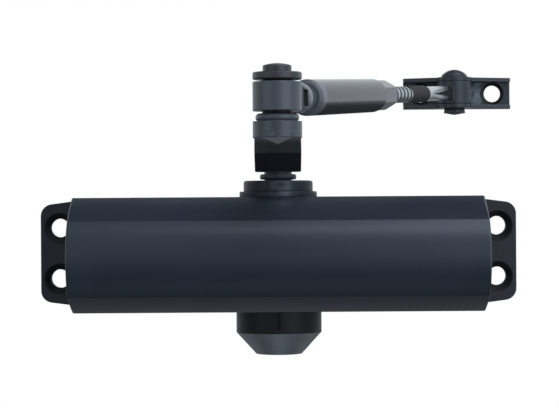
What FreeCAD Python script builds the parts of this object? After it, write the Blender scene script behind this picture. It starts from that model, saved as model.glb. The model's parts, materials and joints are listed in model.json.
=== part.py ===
import FreeCAD, Part
import math
import os
import Sketcher
from FreeCAD import Placement, Rotation, Vector

# Overhead door closer with a double lever arm.
# Millimetres. X runs along the body, Y points into the door, Z is up.
# The origin is the middle of the four fixing holes, on the door face.

os.makedirs("parts", exist_ok=True)
doc = FreeCAD.newDocument("door_closer")
sheet = doc.addObject("Spreadsheet::Sheet", "Sizes")
nodes = []


class Size:
    # A number together with the expression that gives it.
    def __init__(self, text, number):
        self.text = text
        self.number = number

    def __add__(self, other):
        other = as_size(other)
        return Size("(%s + %s)" % (self.text, other.text), self.number + other.number)

    def __radd__(self, other):
        return as_size(other) + self

    def __sub__(self, other):
        other = as_size(other)
        return Size("(%s - %s)" % (self.text, other.text), self.number - other.number)

    def __rsub__(self, other):
        return as_size(other) - self

    def __mul__(self, other):
        other = as_size(other)
        return Size("(%s * %s)" % (self.text, other.text), self.number * other.number)

    def __rmul__(self, other):
        return as_size(other) * self

    def __truediv__(self, other):
        other = as_size(other)
        return Size("(%s / %s)" % (self.text, other.text), self.number / other.number)

    def __neg__(self):
        return Size("(0 - %s)" % self.text, -self.number)


def as_size(value):
    if isinstance(value, Size):
        return value
    return Size("(%.6f)" % value, float(value))


def size(alias, number):
    row = len(sheet.getUsedCells()) // 2 + 1
    sheet.set("A%d" % row, alias)
    sheet.set("B%d" % row, str(number))
    sheet.setAlias("B%d" % row, alias)
    return Size("Sizes." + alias, float(number))


def bind(thing, name, value):
    thing.setExpression(name, as_size(value).text)


def place(thing, at, turn=None):
    corner = [as_size(value) for value in at]
    thing.Placement = Placement(Vector(*[value.number for value in corner]), turn or Rotation())
    for axis, value in zip("xyz", corner):
        thing.setExpression("Placement.Base." + axis, value.text)


def keep(thing, label):
    thing.Label = label
    nodes.append(thing)
    return thing


def origin_plane(body, role):
    return [item for item in body.Origin.OriginFeatures if item.Role == role][0]


def new_sketch(owner, name, plane, offset=None):
    sketch = owner.newObject("Sketcher::SketchObject", name)
    sketch.AttachmentSupport = [(origin_plane(owner, plane), "")]
    sketch.MapMode = "FlatFace"
    if offset is not None:
        bind(sketch, "AttachmentOffset.Base.z", offset)
    return sketch


def point_ties(edge, end, corner):
    # The ties of one end of an edge to its two coordinates, each with its expression.
    ties = []
    for kind, axis, value in (("DistanceX", -2, corner[0]), ("DistanceY", -1, corner[1])):
        if not isinstance(value, Size) and value == 0:
            ties.append((Sketcher.Constraint("PointOnObject", edge, end, axis), None))
            continue
        value = as_size(value)
        ties.append((Sketcher.Constraint(kind, -1, 1, edge, end, value.number), value.text))
    return ties


def tie_sketch(sketch, ties):
    numbers = sketch.addConstraint([tie for tie, text in ties])
    for number, (tie, text) in zip(numbers, ties):
        if text is not None:
            sketch.setExpression("Constraints[%d]" % number, text)


def bowed_edge(first, last, radius, side):
    # An arc between two points that bows to the left, 1, or to the right, -1.
    chord = last - first
    half = chord.Length / 2
    rise = radius - math.sqrt(max(radius * radius - half * half, 0))
    out = Vector(-chord.y, chord.x, 0).normalize() * (rise * side)
    return Part.Arc(first, (first + last) * 0.5 + out, last)


def draw_outline(sketch, corners, arcs=None):
    # A closed outline; arcs maps the number of an edge to its radius and the side it bows to.
    arcs = arcs or {}
    points = [Vector(as_size(u).number, as_size(v).number, 0) for u, v in corners]
    count = len(points)
    shapes = []
    for index in range(count):
        first = points[index]
        last = points[(index + 1) % count]
        if index in arcs:
            radius, side = arcs[index]
            shapes.append(bowed_edge(first, last, as_size(radius).number, side))
        else:
            shapes.append(Part.LineSegment(first, last))
    edges = sketch.addGeometry(shapes)
    ends = []
    ties = []
    for index, edge in enumerate(edges):
        forward = sketch.getPoint(edge, 1).distanceToPoint(points[index]) < 1e-6
        ends.append((1, 2) if forward else (2, 1))
        if index in arcs:
            radius = as_size(arcs[index][0])
            ties.append((Sketcher.Constraint("Radius", edge, radius.number), radius.text))
    for index, edge in enumerate(edges):
        following = (index + 1) % count
        head = (edge, ends[index][1])
        tail = (edges[following], ends[following][0])
        ties.append((Sketcher.Constraint("Coincident", *head, *tail), None))
        ties.extend(point_ties(edge, ends[index][0], corners[index]))
    tie_sketch(sketch, ties)


def new_body(label):
    return keep(doc.addObject("PartDesign::Body", label), label)


def turn_about(body, name, corners, axis="Z", arcs=None):
    # Revolves an outline of (radius, height) about Z, or of (length, radius) about X.
    sketch = new_sketch(body, name + "_outline", "XZ_Plane" if axis == "Z" else "XY_Plane")
    draw_outline(sketch, corners, arcs)
    spin = body.newObject("PartDesign::Revolution", name + "_turned")
    spin.Profile = sketch
    spin.ReferenceAxis = (sketch, ["V_Axis" if axis == "Z" else "H_Axis"])
    spin.Angle = 360
    return spin


def cut_about(body, name, corners):
    # Cuts away what an outline of (length, radius) sweeps about X.
    sketch = new_sketch(body, name + "_outline", "XY_Plane")
    draw_outline(sketch, corners)
    cut = body.newObject("PartDesign::Groove", name)
    cut.Profile = sketch
    cut.ReferenceAxis = (sketch, ["H_Axis"])
    cut.Angle = 360


def turned(label, corners, axis="Z", at=(0, 0, 0), turn=None, arcs=None):
    body = new_body(label)
    turn_about(body, label, corners, axis, arcs)
    place(body, at, turn)
    return body


def pad_outline(body, name, plane, corners, length, offset=None, arcs=None, both_sides=False):
    sketch = new_sketch(body, name + "_outline", plane, offset)
    draw_outline(sketch, corners, arcs)
    pad = body.newObject("PartDesign::Pad", name)
    pad.Profile = sketch
    if both_sides:
        pad.SideType = "Symmetric"
    bind(pad, "Length", length)
    return pad


def cut_cylinder(body, name, radius, height, at, turn=None):
    tool = body.newObject("PartDesign::SubtractiveCylinder", name)
    bind(tool, "Radius", radius)
    bind(tool, "Height", height)
    place(tool, at, turn)


def add_cylinder(body, name, radius, height, at, turn=None):
    tool = body.newObject("PartDesign::AdditiveCylinder", name)
    bind(tool, "Radius", radius)
    bind(tool, "Height", height)
    place(tool, at, turn)


def cut_cone(body, name, first, last, height, at, turn=None):
    tool = body.newObject("PartDesign::SubtractiveCone", name)
    bind(tool, "Radius1", first)
    bind(tool, "Radius2", last)
    bind(tool, "Height", height)
    place(tool, at, turn)


def cut_box(body, name, lengths, at, turn=None):
    tool = body.newObject("PartDesign::SubtractiveBox", name)
    for side, value in zip(("Length", "Width", "Height"), lengths):
        bind(tool, side, value)
    place(tool, at, turn)


def round_edges(body, name, radius, wanted):
    doc.recompute()
    base = body.Tip
    names = ["Edge%d" % (index + 1) for index, edge in enumerate(base.Shape.Edges) if wanted(edge)]
    fillet = body.newObject("PartDesign::Fillet", name)
    fillet.Base = (base, names)
    bind(fillet, "Radius", radius)


def is_rim(edge, width, axis="Z", at=None):
    # Tells a round edge of that width about the axis, at that place along it if one is given.
    box = edge.BoundBox
    low, high = (box.ZMin, box.ZMax) if axis == "Z" else (box.XMin, box.XMax)
    in_place = at is None or abs(low - at.number) < close
    return high - low < close and box.YLength > width.number - close and in_place


def o_ring(label, radius, thickness, at, turn=None):
    ring = keep(doc.addObject("Part::Torus", label), label)
    bind(ring, "Radius1", radius)
    bind(ring, "Radius2", thickness)
    place(ring, at, turn)
    return ring


# A half circle is drawn a hair wide, so that its two ends stay told apart
round_slack = 1.0001
# Edges within this distance of a place count as being there
close = 0.01

along_x = Rotation(Vector(0, 1, 0), 90)
against_x = Rotation(Vector(0, 1, 0), -90)
against_y = Rotation(Vector(1, 0, 0), 90)
upside_down = Rotation(Vector(1, 0, 0), 180)

# Body casting
body_length = size("body_length", 147.4)
body_height = size("body_height", 41.2)
body_depth = size("body_depth", 63.8)
flank_step = size("flank_step", 22.8)
flank_curve = size("flank_curve", 95.0)
crease_height = size("crease_height", 26.6)
crease_drop = size("crease_drop", 1.0)
crease_step = size("crease_step", 5.8)
left_edge_round = size("left_edge_round", 0.6)
right_edge_round = size("right_edge_round", 0.6)
lug_reach = size("lug_reach", 15.3)
lug_thickness = size("lug_thickness", 6.0)
lug_root_height = size("lug_root_height", 40.6)
lug_tip_height = size("lug_tip_height", 35.8)
lug_corner = size("lug_corner", 4.5)
hole_edge = size("hole_edge", 7.0)
hole_span_tall = size("hole_span_tall", 19.0)
hole_width = size("hole_width", 7.0)
sink_width = size("sink_width", 11.0)
recess_depth = size("recess_depth", 8.0)
recess_rim = size("recess_rim", 4.0)
recess_rib = size("recess_rib", 4.0)
overcut = size("overcut", 1.0)

# Cylinder and what runs in it
bore_axis_depth = size("bore_axis_depth", 38.0)
bore_width = size("bore_width", 30.0)
plug_width = size("plug_width", 32.0)
plug_length = size("plug_length", 12.0)
plug_inset = size("plug_inset", 0.5)
fit_gap = size("fit_gap", 0.05)
running_gap = size("running_gap", 0.03)
end_gap = size("end_gap", 0.5)
cord_radius = size("cord_radius", 0.68)

# Spindle
spindle_depth = size("spindle_depth", 26.0)
spindle_width = size("spindle_width", 10.0)
square_width = size("square_width", 8.0)
tooth_module = size("tooth_module", 1.0)
tooth_count = size("tooth_count", 12)
pressure_angle = size("pressure_angle", 20.0)
rack_tip = size("rack_tip", 0.65)
root_gap = size("root_gap", 0.25)
tooth_play = size("tooth_play", 0.05)
bearing_level = size("bearing_level", 15.4)
bearing_width = size("bearing_width", 18.0)
bearing_length = size("bearing_length", 3.5)
thrust_gap = size("thrust_gap", 0.3)
seal_width = size("seal_width", 15.2)
seal_length = size("seal_length", 3.3)
ring_width = size("ring_width", 28.2)
ring_length = size("ring_length", 2.0)
collar_width = size("collar_width", 25.2)
collar_length = size("collar_length", 3.9)
flange_width = size("flange_width", 13.3)
flange_length = size("flange_length", 2.0)
flange_gap = size("flange_gap", 0.4)
ring_round = size("ring_round", 0.5)
collar_round = size("collar_round", 0.9)
flange_round = size("flange_round", 0.8)
lower_collar_width = size("lower_collar_width", 27.0)
lower_collar_length = size("lower_collar_length", 3.4)
square_gap = size("square_gap", 2.0)
shaft_sink = size("shaft_sink", 0.4)
screw_end_gap = size("screw_end_gap", 2.0)

# Cap over the lower end of the spindle
cap_width = size("cap_width", 31.0)
cap_skirt = size("cap_skirt", 7.9)
cap_tip_width = size("cap_tip_width", 16.6)
cap_height = size("cap_height", 15.8)
cap_wall = size("cap_wall", 2.0)
cap_head_gap = size("cap_head_gap", 2.0)
cap_slit = size("cap_slit", 1.3)
cap_slit_count = 4
cap_round = size("cap_round", 0.3)

# Lever arm
arm_length = size("arm_length", 160.0)
arm_thickness = size("arm_thickness", 4.65)
hub_level = size("hub_level", 29.7)
hub_width = size("hub_width", 16.35)
hub_reach = size("hub_reach", 20.0)
crank_reach = size("crank_reach", 34.0)
crank_level = size("crank_level", 35.7)
eye_level = size("eye_level", 36.7)
eye_width = size("eye_width", 14.0)
neck_width = size("neck_width", 13.3)
arm_screw_width = size("arm_screw_width", 6.0)
arm_screw_head = size("arm_screw_head", 10.0)
arm_screw_rise = size("arm_screw_rise", 4.0)
arm_screw_grip = size("arm_screw_grip", 12.0)
arm_washer_width = size("arm_washer_width", 11.0)
arm_washer_length = size("arm_washer_length", 1.2)
arm_washer_split = size("arm_washer_split", 1.0)

# Elbow
rivet_width = size("rivet_width", 7.0)
rivet_head_width = size("rivet_head_width", 8.2)
rivet_head_rise = size("rivet_head_rise", 2.6)
rivet_head_side = size("rivet_head_side", 1.9)
rivet_head_round = size("rivet_head_round", 0.4)
rivet_tail_width = size("rivet_tail_width", 7.9)
rivet_tail_rise = size("rivet_tail_rise", 1.8)
elbow_ring_width = size("elbow_ring_width", 12.4)
elbow_ring_length = size("elbow_ring_length", 2.2)
elbow_bush_width = size("elbow_bush_width", 8.6)
elbow_bush_length = size("elbow_bush_length", 9.6)
elbow_eye_length = size("elbow_eye_length", 8.2)
elbow_eye_gap = size("elbow_eye_gap", 0.75)
elbow_washer_length = size("elbow_washer_length", 2.1)
elbow_ring_round = size("elbow_ring_round", 1.0)
elbow_washer_round = size("elbow_washer_round", 0.4)

# Forearm
pivot_across = size("pivot_across", 65.9)
pivot_depth = size("pivot_depth", 9.2)
pivot_level = size("pivot_level", 59.0)
forearm_drop = size("forearm_drop", 0.6)
stem_width = size("stem_width", 5.0)
bead_width = size("bead_width", 9.0)
bead_start = size("bead_start", 15.2)
bead_end = size("bead_end", 18.6)
bead_round = size("bead_round", 0.8)
bead_slot_width = size("bead_slot_width", 1.4)
bead_slot_height = size("bead_slot_height", 4.8)
bead_slot_offset = size("bead_slot_offset", 2.3)
bead_slot_depth = size("bead_slot_depth", 2.0)
tube_width = size("tube_width", 10.85)
tube_mouth = size("tube_mouth", 7.8)
tube_start = size("tube_start", 23.4)
tube_end = size("tube_end", 87.6)
ferrule_start = size("ferrule_start", 23.8)
ferrule_end = size("ferrule_end", 34.0)
tube_far_round = size("tube_far_round", 0.5)
tube_lip_round = size("tube_lip_round", 1.4)
nut_width = size("nut_width", 9.6)
nut_length = size("nut_length", 10.0)
nut_chamfer = size("nut_chamfer", 0.7)
rod_width = size("rod_width", 5.6)
tube_thread_start = size("tube_thread_start", 48.0)
rod_start = size("rod_start", 56.0)
rod_grip = size("rod_grip", 7.0)
thread_depth = size("thread_depth", 0.5)
thread_pitch = size("thread_pitch", 2.4)
sleeve_start = size("sleeve_start", 126.0)
sleeve_end = size("sleeve_end", 146.7)
sleeve_width = size("sleeve_width", 5.9)
shank_gap = size("shank_gap", 0.4)
flat_start = size("flat_start", 151.0)
flat_end = size("flat_end", 172.0)
tongue_height = size("tongue_height", 5.2)
tongue_thickness = size("tongue_thickness", 3.0)
rod_eye_width = size("rod_eye_width", 12.6)
rod_eye_length = size("rod_eye_length", 8.2)

# Frame bracket
bracket_length = size("bracket_length", 40.0)
bracket_height = size("bracket_height", 11.5)
bracket_shift = size("bracket_shift", 1.4)
bracket_sheet = size("bracket_sheet", 1.5)
bracket_plate = size("bracket_plate", 2.0)
bracket_lip = size("bracket_lip", 4.0)
bracket_hole_span = size("bracket_hole_span", 27.0)
bracket_hole_width = size("bracket_hole_width", 6.2)
bracket_sink_width = size("bracket_sink_width", 8.1)
ear_width = size("ear_width", 12.6)
pivot_pin_width = size("pivot_pin_width", 6.0)
pivot_head_width = size("pivot_head_width", 9.5)
pivot_head_rise = size("pivot_head_rise", 2.9)
pivot_head_side = size("pivot_head_side", 0.7)
pivot_tail_width = size("pivot_tail_width", 8.0)
pivot_tail_rise = size("pivot_tail_rise", 1.8)
pivot_tail_point = size("pivot_tail_point", 0.7)
pivot_tail_flare = size("pivot_tail_flare", 0.3)

# Valves
valve_width = size("valve_width", 6.0)
valve_depth = size("valve_depth", 14.0)
valve_height = size("valve_height", 11.0)
valve_length = size("valve_length", 14.0)
valve_needle = size("valve_needle", 5.0)
valve_inset = size("valve_inset", 1.0)
valve_slot = size("valve_slot", 1.2)
valve_groove_depth = size("valve_groove_depth", 1.0)
valve_groove_width = size("valve_groove_width", 1.2)
valve_cord_radius = size("valve_cord_radius", 0.48)
passage_width = size("passage_width", 2.6)

# Piston and spring
piston_right = size("piston_right", 20.0)
notch_left = size("notch_left", 28.0)
notch_right = size("notch_right", 11.0)
skirt_width = size("skirt_width", 22.0)
skirt_depth = size("skirt_depth", 12.2)
spring_pocket_width = size("spring_pocket_width", 25.4)
spring_pocket_end = size("spring_pocket_end", 14.0)
plug_pocket_depth = size("plug_pocket_depth", 6.0)
seat_length = size("seat_length", 1.5)
spring_radius = size("spring_radius", 10.4)
wire_radius = size("wire_radius", 1.6)
spring_turns = size("spring_turns", 8.5)
check_bore_width = size("check_bore_width", 6.0)
check_bore_depth = size("check_bore_depth", 7.0)
check_port_width = size("check_port_width", 3.0)
check_offset = size("check_offset", 7.0)
ball_width = size("ball_width", 4.6)
retainer_length = size("retainer_length", 1.4)
retainer_bore = size("retainer_bore", 2.4)
rack_gap_count = 10
rack_gaps_left = 7

doc.recompute()

half_length = body_length / 2
half_height = body_height / 2
flank_depth = body_depth - flank_step
crease_depth = body_depth - crease_step
piston_left = half_length - plug_inset - plug_length
lug_span = body_length + 2 * lug_reach
hole_span_long = lug_span - 2 * hole_edge
spindle_at = (0, -spindle_depth, 0)


# Body casting: one profile from end to end, with a fixing lug at each end
def build_casting():
    body = new_body("body_casting")
    half_crease = crease_height / 2
    front_curve = (half_crease * half_crease + crease_step * crease_step) / (2 * crease_step)
    section = [
        (0, half_height),
        (-flank_depth, half_height),
        (-crease_depth, half_crease - crease_drop),
        (-crease_depth, -half_crease - crease_drop),
        (-flank_depth, -half_height),
        (0, -half_height),
    ]
    arcs = {1: (flank_curve, -1), 2: (front_curve, -1), 3: (flank_curve, -1)}
    pad_outline(body, "profile", "YZ_Plane", section, body_length, -half_length, arcs)
    # The lugs are one plate that runs through the body, and taper from a line just inside its ends
    tip = lug_span / 2
    root = lug_root_height / 2
    outer = lug_tip_height / 2
    inside = half_length - lug_thickness / 2
    lugs = [
        (-tip, -outer),
        (-inside, -root),
        (inside, -root),
        (tip, -outer),
        (tip, outer),
        (inside, root),
        (-inside, root),
        (-tip, outer),
    ]
    pad_outline(body, "lugs", "XZ_Plane", lugs, lug_thickness)

    def lug_edge(edge):
        box = edge.BoundBox
        upright = box.YLength > lug_thickness.number - close
        return upright and abs(abs(box.XMin) - tip.number) < close and box.XLength < close

    round_edges(body, "lug_corners", lug_corner, lug_edge)

    # Fixing holes, sunk from the front
    sink_depth = (sink_width - hole_width) / 2
    for x in (-1, 1):
        for z in (-1, 1):
            across = x * hole_span_long / 2
            up = z * hole_span_tall / 2
            mouth = (across, overcut, up)
            cut_cylinder(body, "hole", hole_width / 2, lug_thickness + 2 * overcut, mouth, against_y)
            start = -lug_thickness + sink_depth
            cut_cone(body, "sink", hole_width / 2, sink_width / 2, sink_depth, (across, start, up), against_y)

    # Cylinder bore and the seats of the two end plugs
    start = (-half_length - overcut, -bore_axis_depth, 0)
    cut_cylinder(body, "bore", bore_width / 2, body_length + 2 * overcut, start, along_x)
    seat = plug_length + plug_inset
    cut_cylinder(body, "left_seat", plug_width / 2, seat, (-half_length, -bore_axis_depth, 0), along_x)
    cut_cylinder(body, "right_seat", plug_width / 2, seat, (half_length, -bore_axis_depth, 0), against_x)

    # Spindle bore and the seats of its bearings
    tip_radius = tooth_module * (tooth_count / 2 + 1)
    cut_cylinder(body, "spindle_bore", tip_radius + end_gap, body_height, (0, -spindle_depth, -half_height))
    seat = half_height - bearing_level
    cut_cylinder(body, "upper_seat", bearing_width / 2, seat, (0, -spindle_depth, bearing_level))
    cut_cylinder(body, "lower_seat", bearing_width / 2, seat, (0, -spindle_depth, -half_height))

    # Three shallow recesses in the back, with ribs between them
    clear = body_length - 2 * recess_rim - 2 * recess_rib
    width = clear / 3
    tall = lug_root_height - 2 * recess_rim
    for place_number in range(3):
        start = -half_length + recess_rim + place_number * (width + recess_rib)
        cut_box(body, "recess", (width, recess_depth, tall), (start, -recess_depth, -tall / 2))

    # Valve holes in the right end, each with a passage to the bore
    reach = valve_inset + valve_length + valve_needle + overcut
    for side in (-1, 1):
        up = side * valve_height
        mouth = (half_length, -valve_depth, up)
        cut_cylinder(body, "valve_hole", valve_width / 2 + fit_gap, reach, mouth, against_x)
        start = (half_length - reach + passage_width, -valve_depth, up)
        cut_cylinder(body, "passage", passage_width / 2, bore_axis_depth - valve_depth, start, against_y)

    # The outline of each end, without the holes in it
    def on_end(edge, x):
        box = edge.BoundBox
        if abs(box.XMin - x.number) > close or abs(box.XMax - x.number) > close:
            return False
        if isinstance(edge.Curve, Part.Circle):
            return edge.Curve.Radius > plug_width.number / 2 + close
        return box.ZLength < close and abs(abs(box.ZMin) - half_height.number) < close

    round_edges(body, "left_edges", left_edge_round, lambda edge: on_end(edge, -half_length))
    round_edges(body, "right_edges", right_edge_round, lambda edge: on_end(edge, half_length))


build_casting()


# End plugs, each with a groove for its seal ring and two spanner holes
def build_plug(label, side, pocket):
    outside = plug_width / 2 - fit_gap
    groove = plug_width / 2 - 2 * cord_radius - fit_gap
    groove_width = 2.4 * cord_radius
    groove_start = 3 * cord_radius
    corners = [
        (0, outside),
        (groove_start, outside),
        (groove_start, groove),
        (groove_start + groove_width, groove),
        (groove_start + groove_width, outside),
        (plug_length, outside),
        (plug_length, 0),
    ]
    if pocket is None:
        corners.append((0, 0))
    else:
        corners.extend([(pocket, 0), (pocket, spring_pocket_width / 2), (0, spring_pocket_width / 2)])
    body = turned(label, corners, "X")
    inner = half_length - plug_inset - plug_length
    for offset in (-1, 1):
        floor = (plug_length * 2 / 3, 0, offset * plug_width / 4)
        cut_cylinder(body, "spanner_hole", valve_width / 3, plug_length / 3, floor, along_x)
    if side > 0:
        place(body, (inner, -bore_axis_depth, 0))
    else:
        place(body, (-inner, -bore_axis_depth, 0), Rotation(Vector(0, 0, 1), 180))
    ring_middle = inner + groove_start + groove_width / 2
    ring_radius = plug_width / 2 - cord_radius - fit_gap / 2
    o_ring(label + "_seal", ring_radius, cord_radius, (side * ring_middle, -bore_axis_depth, 0), along_x)


build_plug("left_end_plug", -1, None)
build_plug("right_end_plug", 1, plug_pocket_depth)

# Spindle with its teeth
spindle_low = half_height + cap_height - cap_wall - cap_head_gap
square_low = half_height + lower_collar_length + square_gap
shaft_top = hub_level + arm_thickness - shaft_sink


def tooth_outline():
    # Involute teeth about the origin, one of them pointing along -Y.
    module = tooth_module.number
    count = int(tooth_count.number)
    pitch = module * count / 2
    tip = pitch + module
    root = pitch - rack_tip.number - root_gap.number
    angle = math.radians(pressure_angle.number)
    base = pitch * math.cos(angle)
    half_pitch = math.pi / (2 * count) - tooth_play.number / (2 * pitch)

    def half_width(radius):
        if radius <= base:
            return half_pitch + math.tan(angle) - angle
        lean = math.acos(base / radius)
        return half_pitch + math.tan(angle) - angle - (math.tan(lean) - lean)

    def point(radius, turn):
        return Vector(radius * math.cos(turn), radius * math.sin(turn), 0)

    edges = []
    steps = 4
    for number in range(count):
        middle = -math.pi / 2 + number * 2 * math.pi / count
        radii = [base + (tip - base) * step / steps for step in range(steps + 1)]
        rising = [point(radius, middle - half_width(radius)) for radius in radii]
        falling = [point(radius, middle + half_width(radius)) for radius in reversed(radii)]
        foot = point(root, middle - half_width(base))
        heel = point(root, middle + half_width(base))
        edges.append(Part.LineSegment(foot, rising[0]).toShape())
        for flank in (rising, falling):
            curve = Part.BSplineCurve()
            curve.interpolate(flank)
            edges.append(curve.toShape())
            if flank is rising:
                edges.append(Part.Arc(rising[-1], point(tip, middle), falling[0]).toShape())
        edges.append(Part.LineSegment(falling[-1], heel).toShape())
        next_foot = point(root, middle + 2 * math.pi / count - half_width(base))
        edges.append(Part.Arc(heel, point(root, middle + math.pi / count), next_foot).toShape())
    return Part.Face(Part.Wire(edges))


def build_spindle():
    radius = spindle_width.number / 2
    low = -spindle_low.number
    top = shaft_top.number
    face = 2 * (bearing_level.number - thrust_gap.number)
    teeth = tooth_outline().extrude(Vector(0, 0, face))
    teeth.translate(Vector(0, 0, -face / 2))
    shaft = Part.makeCylinder(radius, top - low, Vector(0, 0, low))
    shape = shaft.fuse(teeth)
    side = square_width.number
    for start, end in ((low, -square_low.number), (hub_level.number, top)):
        ring = Part.makeCylinder(2 * radius, end - start, Vector(0, 0, start))
        square = Part.makeBox(side, side, end - start, Vector(-side / 2, -side / 2, start))
        shape = shape.cut(ring.cut(square))
    depth = (arm_screw_grip + screw_end_gap).number
    shape = shape.cut(Part.makeCylinder(arm_screw_width.number / 2, depth, Vector(0, 0, top - depth)))
    spindle = keep(doc.addObject("Part::Feature", "pinion_spindle"), "pinion_spindle")
    spindle.Shape = shape.removeSplitter()
    place(spindle, spindle_at)


build_spindle()

# Bearings, seals, ring and collars around the spindle
bearing_top = bearing_level + bearing_length
ring_top = half_height + ring_length
collar_top = ring_top + collar_length
spigot_radius = bearing_width / 2 - fit_gap
bore_radius = spindle_width / 2 + running_gap
seal_top = bearing_top + seal_length
flange_level = collar_top + flange_gap


def tube_outline(inner, outer, low, high):
    return [(inner, low), (outer, low), (outer, high), (inner, high)]


def build_stack():
    bearing = tube_outline(bore_radius, spigot_radius, bearing_level, bearing_top)
    turned("upper_bearing", bearing, at=spindle_at)
    turned("lower_bearing", bearing, at=spindle_at, turn=upside_down)
    seal = tube_outline(bore_radius, seal_width / 2 - fit_gap, bearing_top, seal_top)
    turned("upper_shaft_seal", seal, at=spindle_at)
    turned("lower_shaft_seal", seal, at=spindle_at, turn=upside_down)

    outline = tube_outline(bearing_width / 2, ring_width / 2, half_height, ring_top)
    ring = turned("top_ring", outline, at=spindle_at)
    round_edges(ring, "ring_edge", ring_round, lambda edge: is_rim(edge, ring_width, at=ring_top))

    through = spindle_width / 2 + 4 * fit_gap
    collar = turned("top_collar", [
        (through, seal_top + fit_gap),
        (seal_width / 2, seal_top + fit_gap),
        (seal_width / 2, bearing_top),
        (spigot_radius, bearing_top),
        (spigot_radius, ring_top),
        (collar_width / 2, ring_top),
        (collar_width / 2, collar_top),
        (through, collar_top),
    ], at=spindle_at)
    round_edges(collar, "collar_edge", collar_round, lambda edge: is_rim(edge, collar_width, at=collar_top))

    lower = half_height + lower_collar_length
    turned("bottom_collar", [
        (through, seal_top + fit_gap),
        (seal_width / 2, seal_top + fit_gap),
        (seal_width / 2, bearing_top),
        (spigot_radius, bearing_top),
        (spigot_radius, half_height),
        (lower_collar_width / 2, half_height),
        (lower_collar_width / 2, lower),
        (through, lower),
    ], at=spindle_at, turn=upside_down)

    flange_top = flange_level + flange_length
    outline = tube_outline(bore_radius, flange_width / 2, flange_level, flange_top)
    flange = turned("dust_flange", outline, at=spindle_at)
    round_edges(flange, "flange_edges", flange_round, lambda edge: is_rim(edge, flange_width))


build_stack()


# Cap: a split skirt that grips the lower collar, and a blunt cone
def build_cap():
    grip = lower_collar_width / 2 + fit_gap
    slope = (cap_width - cap_tip_width) / 2 / (cap_height - cap_skirt)
    floor = cap_height - cap_wall
    hollow = cap_width / 2 - cap_wall - slope * (floor - cap_skirt)
    cap = turned("spindle_cap", [
        (0, half_height + floor),
        (hollow, half_height + floor),
        (grip, half_height + cap_skirt),
        (grip, half_height),
        (cap_width / 2, half_height),
        (cap_width / 2, half_height + cap_skirt),
        (cap_tip_width / 2, half_height + cap_height),
        (0, half_height + cap_height),
    ], at=spindle_at, turn=upside_down)

    def outer_edge(edge):
        shoulder = is_rim(edge, cap_width, at=half_height + cap_skirt)
        return shoulder or is_rim(edge, cap_tip_width, at=half_height + cap_height)

    round_edges(cap, "cap_edges", cap_round, outer_edge)
    inside = (grip - overcut).number
    for number in range(cap_slit_count):
        turn = Rotation(Vector(0, 0, 1), 90 + 360 * number / cap_slit_count)
        corner = turn.multVec(Vector(inside, -cap_slit.number / 2, (half_height - overcut).number))
        slit = cap.newObject("PartDesign::SubtractiveBox", "slit")
        bind(slit, "Length", cap_wall + 2 * overcut)
        bind(slit, "Width", cap_slit)
        bind(slit, "Height", cap_skirt)
        slit.Placement = Placement(corner, turn)


build_cap()

# Piston with the rack cut in its back, and the parts it carries
piston_axis = (0, -bore_axis_depth, 0)
rack_line = bore_axis_depth - spindle_depth - tooth_module * tooth_count / 2


def build_piston():
    outside = bore_width / 2 - fit_gap
    skirt_floor = -piston_left + skirt_depth
    body = turned("piston", [
        (skirt_floor, 0),
        (skirt_floor, skirt_width / 2),
        (-piston_left, skirt_width / 2),
        (-piston_left, outside),
        (piston_right, outside),
        (piston_right, spring_pocket_width / 2),
        (spring_pocket_end, spring_pocket_width / 2),
        (spring_pocket_end, 0),
    ], "X", piston_axis)
    tip_line = rack_line + rack_tip
    cut_box(body, "notch", (notch_left + notch_right, bore_width, bore_width),
            (-notch_left, tip_line, -bore_width / 2))

    # One gap between rack teeth, repeated along the notch
    lean = math.tan(math.radians(pressure_angle.number))
    pitch = math.pi * tooth_module
    half_gap = pitch / 4 + tooth_play
    depth = tooth_module + root_gap
    mouth = half_gap + (rack_tip + overcut) * lean
    floor = half_gap - depth * lean
    start = -rack_gaps_left * pitch
    gap = new_sketch(body, "rack_gap_outline", "XY_Plane")
    draw_outline(gap, [
        (start - mouth, rack_line + rack_tip + overcut),
        (start - floor, rack_line - depth),
        (start + floor, rack_line - depth),
        (start + mouth, rack_line + rack_tip + overcut),
    ])
    cut = body.newObject("PartDesign::Pocket", "rack_gap")
    cut.Profile = gap
    cut.Type = "ThroughAll"
    cut.SideType = "Symmetric"
    row = body.newObject("PartDesign::LinearPattern", "rack_gaps")
    row.Originals = [cut]
    row.Direction = (gap, ["H_Axis"])
    row.Occurrences = rack_gap_count
    bind(row, "Length", pitch * (rack_gap_count - 1))
    body.Tip = row

    # Check valve: a port into the notch, with a wider bore for the ball
    mouth = (skirt_floor, check_offset, 0)
    cut_cylinder(body, "check_bore", check_bore_width / 2, check_bore_depth, mouth, along_x)
    length = piston_left - skirt_depth - notch_left + overcut
    cut_cylinder(body, "check_port", check_port_width / 2, length, mouth, along_x)

    across = -bore_axis_depth + check_offset
    turned("check_retainer", [
        (0, retainer_bore / 2),
        (0, check_bore_width / 2 - fit_gap),
        (retainer_length, check_bore_width / 2 - fit_gap),
        (retainer_length, retainer_bore / 2),
    ], "X", (skirt_floor, across, 0))
    ball = keep(doc.addObject("Part::Sphere", "check_ball"), "check_ball")
    bind(ball, "Radius", ball_width / 2)
    seat = skirt_floor + check_bore_depth
    radius = ball_width.number / 2
    sink = math.sqrt(radius * radius - (check_port_width.number / 2) ** 2)
    place(ball, (seat - sink - fit_gap, across, 0))

    turned("spring_seat", [
        (0, spring_radius / 2),
        (0, spring_pocket_width / 2 - 4 * fit_gap),
        (seat_length, spring_pocket_width / 2 - 4 * fit_gap),
        (seat_length, spring_radius / 2),
    ], "X", (spring_pocket_end, -bore_axis_depth, 0))


build_piston()


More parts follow.
